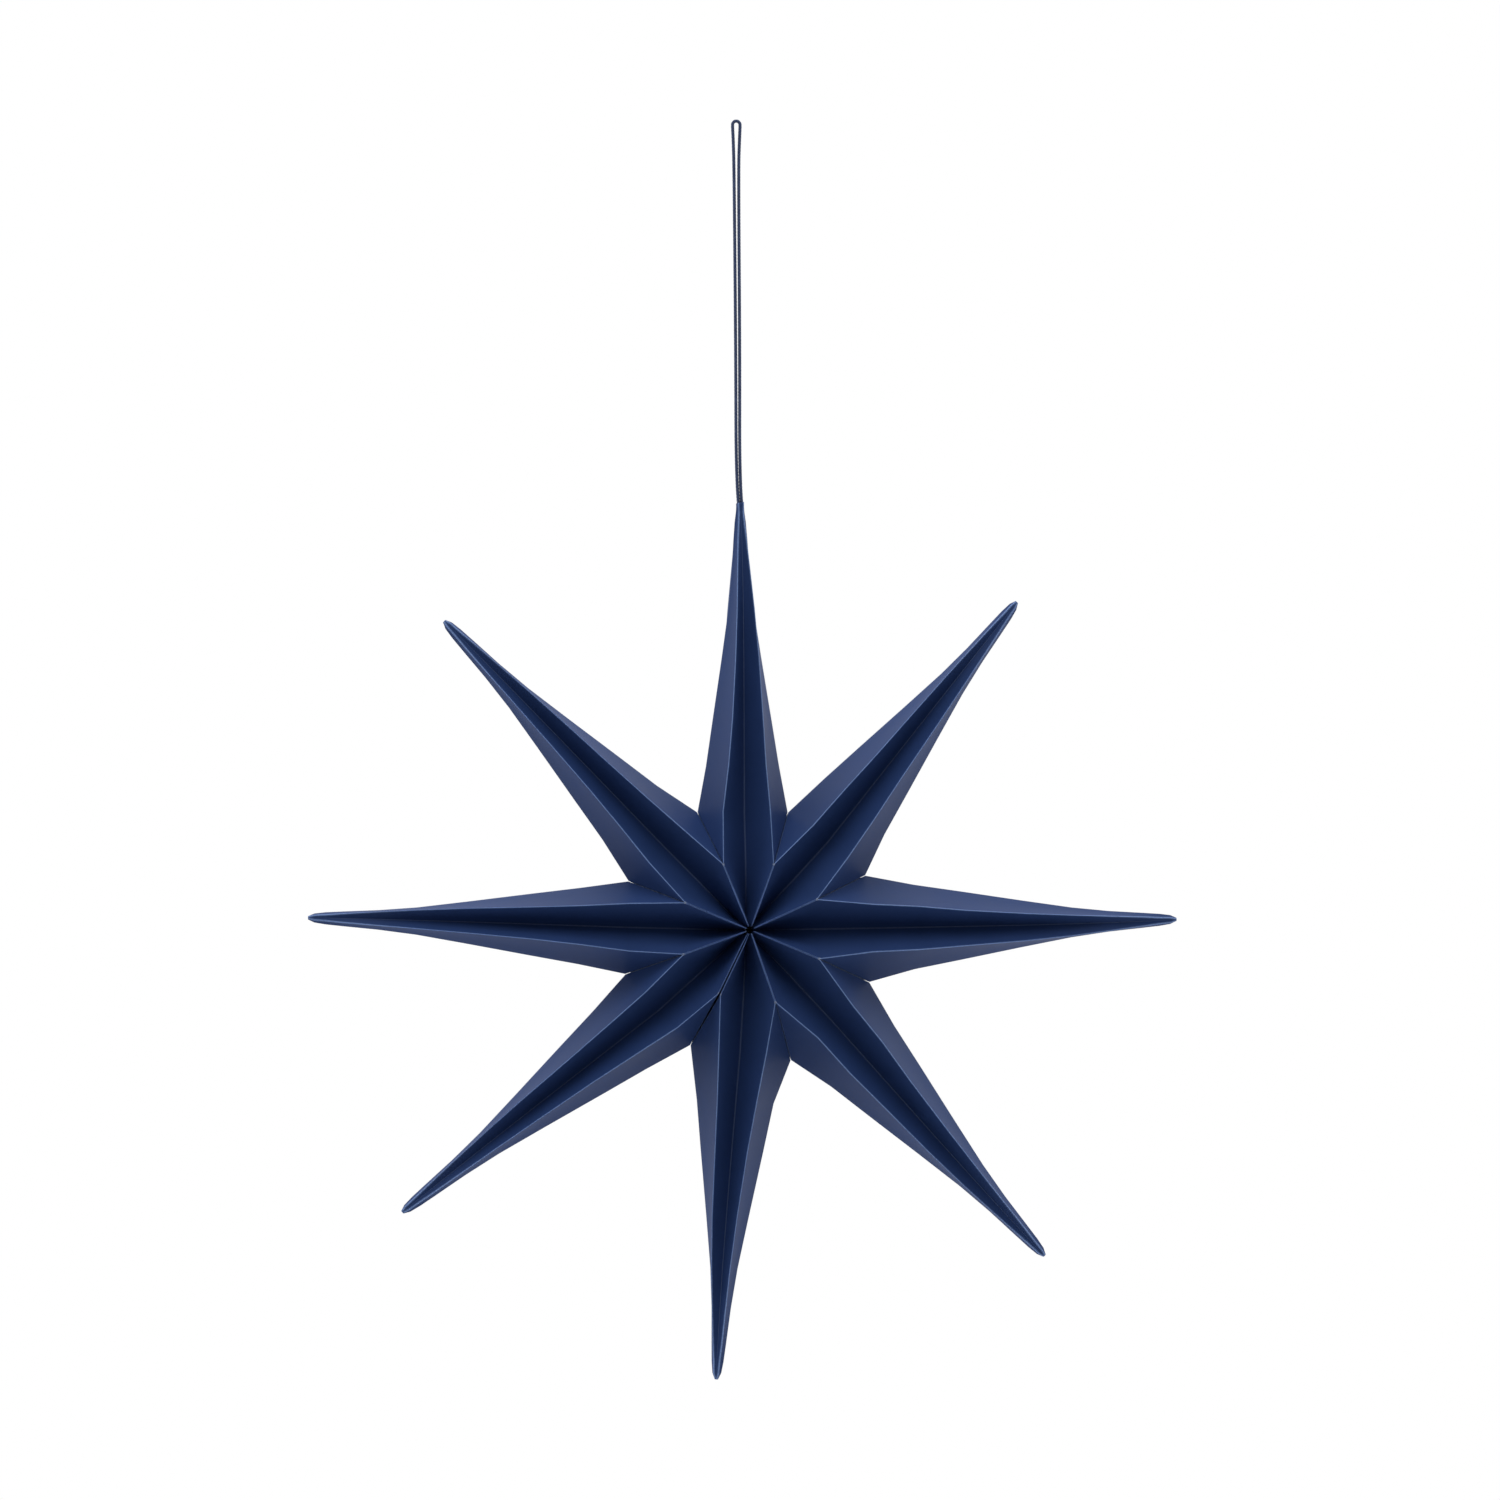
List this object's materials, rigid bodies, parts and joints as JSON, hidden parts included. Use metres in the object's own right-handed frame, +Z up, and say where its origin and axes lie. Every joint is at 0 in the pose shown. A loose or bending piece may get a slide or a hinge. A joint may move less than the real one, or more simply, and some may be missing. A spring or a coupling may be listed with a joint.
{
  "type": "paper star ornament",
  "caption": "Hanging star folded from dark blue card: hollow gusseted rays glued wall to wall like a fan, on a doubled cord; opens from a flat stack and closes with hidden magnets",
  "frame": {"origin": "inside of the cord's loop, at its top, where it hangs on a hook", "axes": "+Z up, the star's face towards -Y, +X to the right of a person who faces it"},
  "size_m": [0.4505, 0.068, 0.6519],
  "materials": {
    "navy_card": "matt dyed card with soft folds and paler worn fold lines",
    "adhesive_film": "thin translucent double-sided film",
    "nickel_plate": "bright nickel plate on small disc magnets",
    "blue_cord": "matt twisted cord, dark blue"
  },
  "bodies": {
    "cord": {"hanging_cord": "blue_cord"},
    "knot": {"cord_knot": "blue_cord"},
    "top_ray": {"ray_top": "navy_card"},
    "upper_right_ray": {"ray_upper_right": "navy_card"},
    "right_ray": {"ray_right": "navy_card"},
    "lower_right_ray": {"ray_lower_right": "navy_card"},
    "bottom_ray": {"ray_bottom": "navy_card"},
    "lower_left_ray": {"ray_lower_left": "navy_card"},
    "left_ray": {"ray_left": "navy_card"},
    "upper_left_ray": {"ray_upper_left": "navy_card"},
    "top_wall": {"film_top": "adhesive_film"},
    "upper_right_wall": {"film_upper_right": "adhesive_film"},
    "right_wall": {"film_right": "adhesive_film"},
    "lower_right_wall": {"film_lower_right": "adhesive_film"},
    "lower_left_wall": {"film_lower_left": "adhesive_film"},
    "left_wall": {"film_left": "adhesive_film"},
    "upper_left_wall": {"film_upper_left": "adhesive_film"},
    "seam_wall_bottom": {"seam_magnets_bottom": "nickel_plate"},
    "seam_wall_lower_left": {"seam_magnets_lower_left": "nickel_plate"}
  },
  "joints": [
    {"name": "star_tilt", "type": "hinge", "parent": "cord", "child": "knot", "pos_m": [0.002, 0, -0.19921], "axis": [1, 0, 0], "range_deg": [-20, 20]},
    {"name": "star_twist", "type": "hinge", "parent": "knot", "child": "top_ray", "pos_m": [0.002, 0, -0.19921], "axis": [0, 0, 1], "range_deg": [-180, 180], "stiffness_Nm_per_rad": 0.0004},
    {"name": "fan_fold", "type": "hinge", "parent": "top_ray", "child": "bottom_ray", "pos_m": [0.0043, 0, -0.419], "axis": [0, -1, 0], "range_deg": [0, 168.91], "deforming": ["ray_top", "ray_upper_right", "ray_right", "ray_lower_right", "ray_bottom", "ray_lower_left", "ray_left", "ray_upper_left"]},
    {"name": "fold_upper_right", "type": "hinge", "parent": "top_ray", "child": "upper_right_ray", "pos_m": [0.0043, 0, -0.419], "axis": [0, -1, 0], "range_deg": [0, 40.4]},
    {"name": "fold_right", "type": "hinge", "parent": "top_ray", "child": "right_ray", "pos_m": [0.0043, 0, -0.419], "axis": [0, -1, 0], "range_deg": [0, 82.9]},
    {"name": "fold_lower_right", "type": "hinge", "parent": "top_ray", "child": "lower_right_ray", "pos_m": [0.0043, 0, -0.419], "axis": [0, -1, 0], "range_deg": [0, 126.4]},
    {"name": "fold_lower_left", "type": "hinge", "parent": "top_ray", "child": "lower_left_ray", "pos_m": [0.0043, 0, -0.419], "axis": [0, -1, 0], "range_deg": [-121.3, 0]},
    {"name": "fold_left", "type": "hinge", "parent": "top_ray", "child": "left_ray", "pos_m": [0.0043, 0, -0.419], "axis": [0, -1, 0], "range_deg": [-81, 0]},
    {"name": "fold_upper_left", "type": "hinge", "parent": "top_ray", "child": "upper_left_ray", "pos_m": [0.0043, 0, -0.419], "axis": [0, -1, 0], "range_deg": [-40.4, 0]},
    {"name": "fold_wall_top", "type": "hinge", "parent": "top_ray", "child": "top_wall", "pos_m": [0.0043, 0, -0.419], "axis": [0, -1, 0], "range_deg": [0, 19.6]},
    {"name": "fold_wall_upper_right", "type": "hinge", "parent": "top_ray", "child": "upper_right_wall", "pos_m": [0.0043, 0, -0.419], "axis": [0, -1, 0], "range_deg": [0, 61.3]},
    {"name": "fold_wall_right", "type": "hinge", "parent": "top_ray", "child": "right_wall", "pos_m": [0.0043, 0, -0.419], "axis": [0, -1, 0], "range_deg": [0, 104.4]},
    {"name": "fold_wall_lower_right", "type": "hinge", "parent": "top_ray", "child": "lower_right_wall", "pos_m": [0.0043, 0, -0.419], "axis": [0, -1, 0], "range_deg": [0, 148.4]},
    {"name": "fold_wall_lower_left", "type": "hinge", "parent": "top_ray", "child": "lower_left_wall", "pos_m": [0.0043, 0, -0.419], "axis": [0, -1, 0], "range_deg": [-100.8, 0]},
    {"name": "fold_wall_left", "type": "hinge", "parent": "top_ray", "child": "left_wall", "pos_m": [0.0043, 0, -0.419], "axis": [0, -1, 0], "range_deg": [-61.2, 0]},
    {"name": "fold_wall_upper_left", "type": "hinge", "parent": "top_ray", "child": "upper_left_wall", "pos_m": [0.0043, 0, -0.419], "axis": [0, -1, 0], "range_deg": [-19.6, 0]},
    {"name": "fold_seam_bottom", "type": "hinge", "parent": "top_ray", "child": "seam_wall_bottom", "pos_m": [0.0043, 0, -0.419], "axis": [0, -1, 0], "range_deg": [0, 189.8]},
    {"name": "fold_seam_lower_left", "type": "hinge", "parent": "top_ray", "child": "seam_wall_lower_left", "pos_m": [0.0043, 0, -0.419], "axis": [0, -1, 0], "range_deg": [-141.7, 0]}
  ],
  "couplings": [
    {"joint": "fold_upper_right", "follows": "fan_fold", "ratio": 0.23856},
    {"joint": "fold_right", "follows": "fan_fold", "ratio": 0.48965},
    {"joint": "fold_lower_right", "follows": "fan_fold", "ratio": 0.74728},
    {"joint": "fold_lower_left", "follows": "fan_fold", "ratio": -0.71705},
    {"joint": "fold_left", "follows": "fan_fold", "ratio": -0.47876},
    {"joint": "fold_upper_left", "follows": "fan_fold", "ratio": -0.23829},
    {"joint": "fold_wall_top", "follows": "fan_fold", "ratio": 0.11492},
    {"joint": "fold_wall_upper_right", "follows": "fan_fold", "ratio": 0.3622},
    {"joint": "fold_wall_right", "follows": "fan_fold", "ratio": 0.6171},
    {"joint": "fold_wall_lower_right", "follows": "fan_fold", "ratio": 0.87745},
    {"joint": "fold_wall_lower_left", "follows": "fan_fold", "ratio": -0.59586},
    {"joint": "fold_wall_left", "follows": "fan_fold", "ratio": -0.36166},
    {"joint": "fold_wall_upper_left", "follows": "fan_fold", "ratio": -0.11492},
    {"joint": "fold_seam_bottom", "follows": "fan_fold", "ratio": 1.1225},
    {"joint": "fold_seam_lower_left", "follows": "fan_fold", "ratio": -0.83823}
  ]
}
